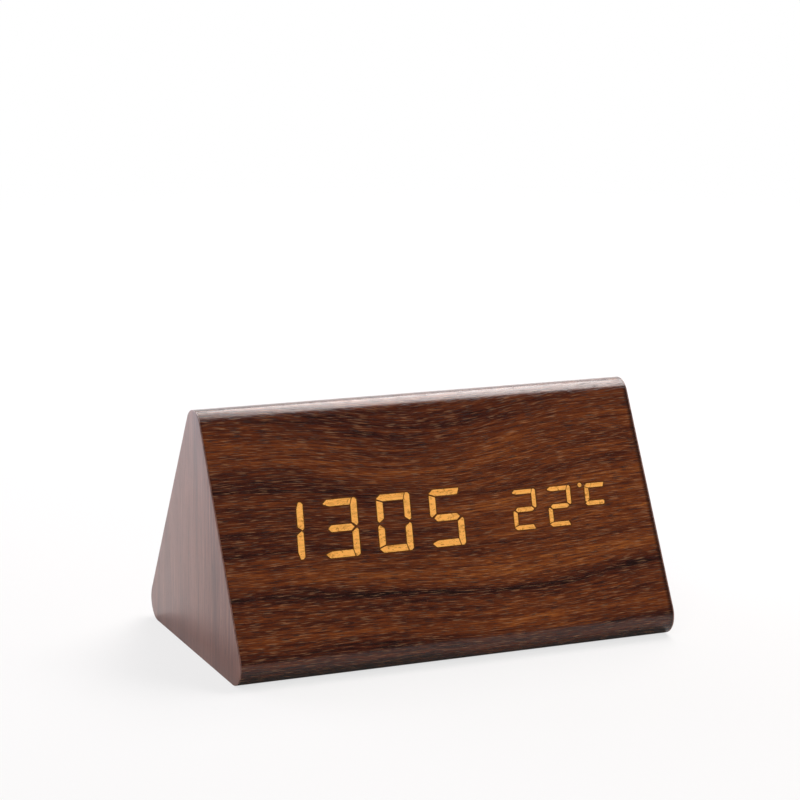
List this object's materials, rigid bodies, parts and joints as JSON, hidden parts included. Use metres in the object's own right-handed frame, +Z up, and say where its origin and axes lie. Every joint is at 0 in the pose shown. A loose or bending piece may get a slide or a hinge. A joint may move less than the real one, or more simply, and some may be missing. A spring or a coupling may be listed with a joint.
{
  "type": "digital alarm clock",
  "caption": "Three-sided wooden alarm clock: a laminate-wrapped prism case with a segment display behind its sloping front and a rear insert with battery door, push buttons and power inlet.",
  "frame": {"origin": "middle of the case's outline on the surface the clock stands on", "axes": "+Z up; +X along the case, to the right when seen from the front; the front face looks towards -Y and leans back, the rear face looks towards +Y"},
  "size_m": [0.15, 0.0844, 0.0782],
  "materials": {
    "walnut_laminate": "dark walnut laminate, satin, fine grain along the length",
    "end_laminate": "dark walnut laminate on the end faces, semi-gloss",
    "fibreboard": "raw medium-density fibreboard",
    "black_abs": "fine spark-eroded texture",
    "button_abs": "satin",
    "switch_plastic": "satin",
    "plunger_plastic": "satin",
    "reflector_white": "white, semi-gloss",
    "diffuser_film": "frosted film",
    "circuit_board": "green solder resist",
    "chip_epoxy": "moulded epoxy",
    "zinc_steel": "bright zinc plating",
    "nickel_wire": "nickel plating",
    "inlet_pin": "turned",
    "cell_jacket": "plain printed jacket",
    "red_sleeve": "wire insulation",
    "black_sleeve": "wire insulation",
    "grey_ribbon": "flat cable"
  },
  "bodies": {
    "case": {"case_veneer": "walnut_laminate", "base_sheet": "walnut_laminate", "left_end_veneer": "end_laminate", "right_end_veneer": "end_laminate", "front_board": "fibreboard", "rear_board": "fibreboard", "base_board": "fibreboard", "left_end_panel": "fibreboard", "right_end_panel": "fibreboard", "rear_panel": "black_abs", "rear_panel_screw_1": "zinc_steel", "rear_panel_screw_2": "zinc_steel", "rear_panel_screw_3": "zinc_steel", "rear_panel_screw_4": "zinc_steel", "aaa_cell_1": "cell_jacket", "aaa_cell_2": "cell_jacket", "aaa_cell_3": "cell_jacket", "battery_spring_1": "nickel_wire", "battery_spring_2": "nickel_wire", "battery_spring_3": "nickel_wire", "battery_contact_1": "nickel_wire", "battery_contact_2": "nickel_wire", "battery_contact_3": "nickel_wire", "battery_contact_4": "nickel_wire", "set_switch": "switch_plastic", "up_switch": "switch_plastic", "down_switch": "switch_plastic", "control_board": "circuit_board", "control_board_screw_1": "zinc_steel", "control_board_screw_2": "zinc_steel", "dc_jack": "switch_plastic", "dc_jack_pin": "inlet_pin", "microphone": "zinc_steel", "thermistor": "chip_epoxy", "buzzer": "switch_plastic", "crystal": "zinc_steel", "mcu_chip": "chip_epoxy", "display_diffuser": "diffuser_film", "display_reflector": "reflector_white", "display_board": "circuit_board", "display_screw_1": "zinc_steel", "display_screw_2": "zinc_steel", "display_screw_3": "zinc_steel", "display_screw_4": "zinc_steel", "display_driver": "chip_epoxy", "battery_lead_red": "red_sleeve", "battery_lead_black": "black_sleeve", "display_ribbon": "grey_ribbon"},
    "battery_door": {"battery_door": "black_abs"},
    "set_button": {"set_button": "button_abs", "set_plunger": "plunger_plastic"},
    "up_button": {"up_button": "button_abs", "up_plunger": "plunger_plastic"},
    "down_button": {"down_button": "button_abs", "down_plunger": "plunger_plastic"}
  },
  "joints": [
    {"name": "battery_door_hinge", "type": "hinge", "parent": "case", "child": "battery_door", "pos_m": [0.0255, 0.03209, 0.02606], "axis": [-1, 0, 0], "range_deg": [0, 80]},
    {"name": "set_button_press", "type": "slide", "parent": "case", "child": "set_button", "axis": [0, -0.8771, -0.4802], "range_m": [0, 0.0005], "stiffness_N_per_m": 1500},
    {"name": "up_button_press", "type": "slide", "parent": "case", "child": "up_button", "axis": [0, -0.8771, -0.4802], "range_m": [0, 0.0005], "stiffness_N_per_m": 1500},
    {"name": "down_button_press", "type": "slide", "parent": "case", "child": "down_button", "axis": [0, -0.8771, -0.4802], "range_m": [0, 0.0005], "stiffness_N_per_m": 1500}
  ]
}
